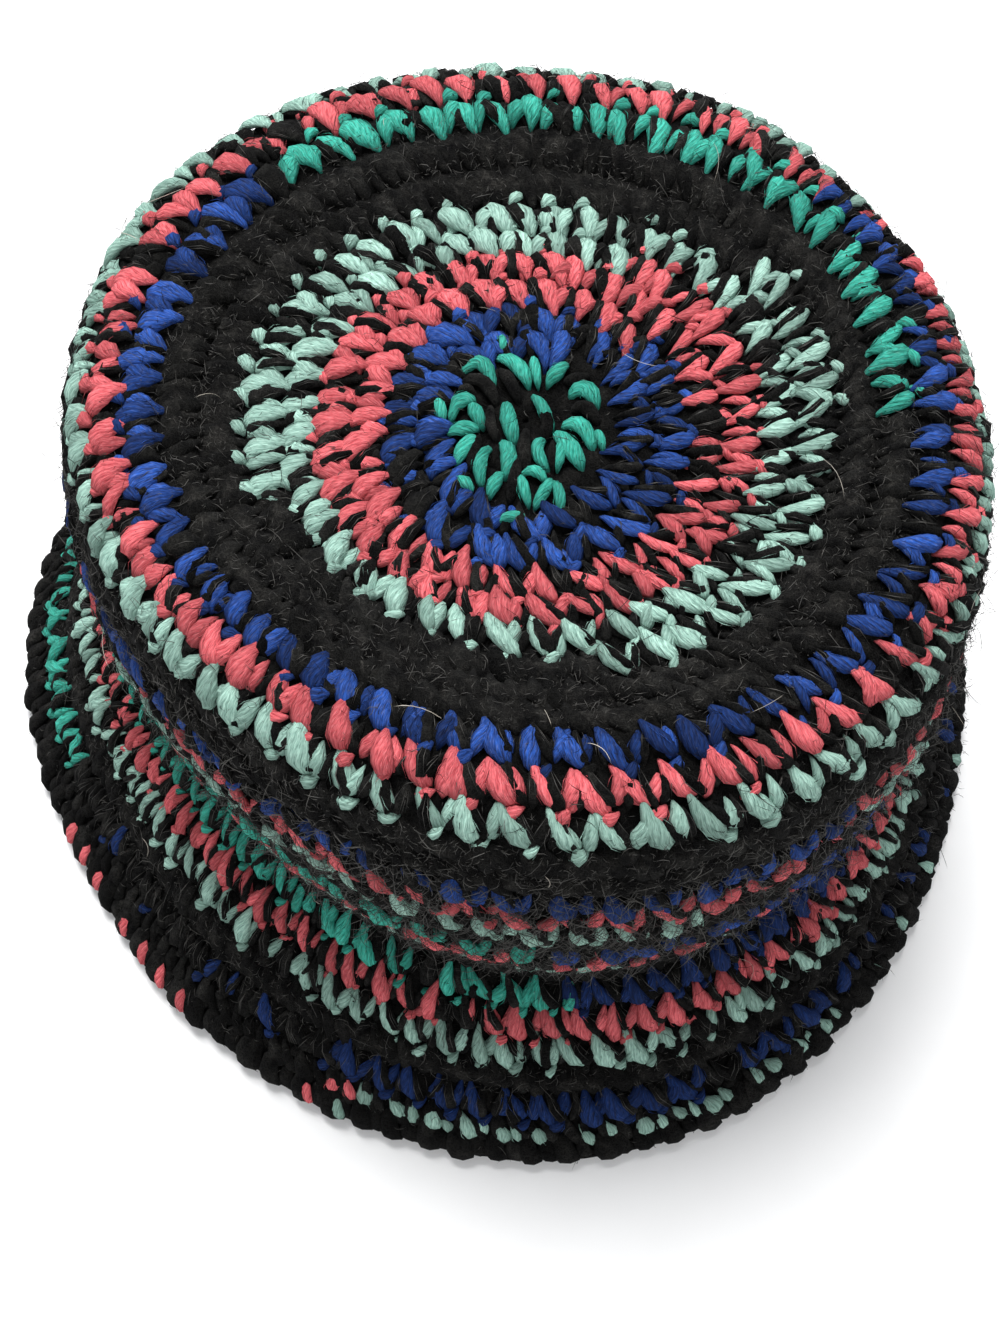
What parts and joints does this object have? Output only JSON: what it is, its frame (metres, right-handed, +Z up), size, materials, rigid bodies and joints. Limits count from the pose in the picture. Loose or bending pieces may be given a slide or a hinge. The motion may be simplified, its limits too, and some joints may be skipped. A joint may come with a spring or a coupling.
{
  "type": "crocheted bucket hat",
  "caption": "Soft crocheted bucket hat with a flat round top, tall sides that narrow to a waist and a short sloping brim, striped in black and bright yarn.",
  "frame": {"origin": "middle of the hat's outline on the surface that it stands on, under the brim's edge", "axes": "+Z up through the top, -Y towards the front, +X to the wearer's left when the front is worn forward"},
  "size_m": [0.2614, 0.2608, 0.13],
  "materials": {
    "yarn_teal": "soft acrylic worsted yarn, matt with a fine fuzz",
    "yarn_coral": "soft acrylic worsted yarn, matt with a fine fuzz",
    "yarn_blue": "soft acrylic worsted yarn, matt with a fine fuzz",
    "yarn_mint": "soft acrylic worsted yarn, matt with a fine fuzz",
    "yarn_black": "soft acrylic worsted yarn, matt with a fine fuzz"
  },
  "bodies": {
    "root": {"starting_ring": "yarn_teal", "crown_top": "yarn_coral", "crown_rim": "yarn_coral", "crown_side": "yarn_blue", "brim": "yarn_mint", "brim_edging": "yarn_black"}
  },
  "joints": []
}
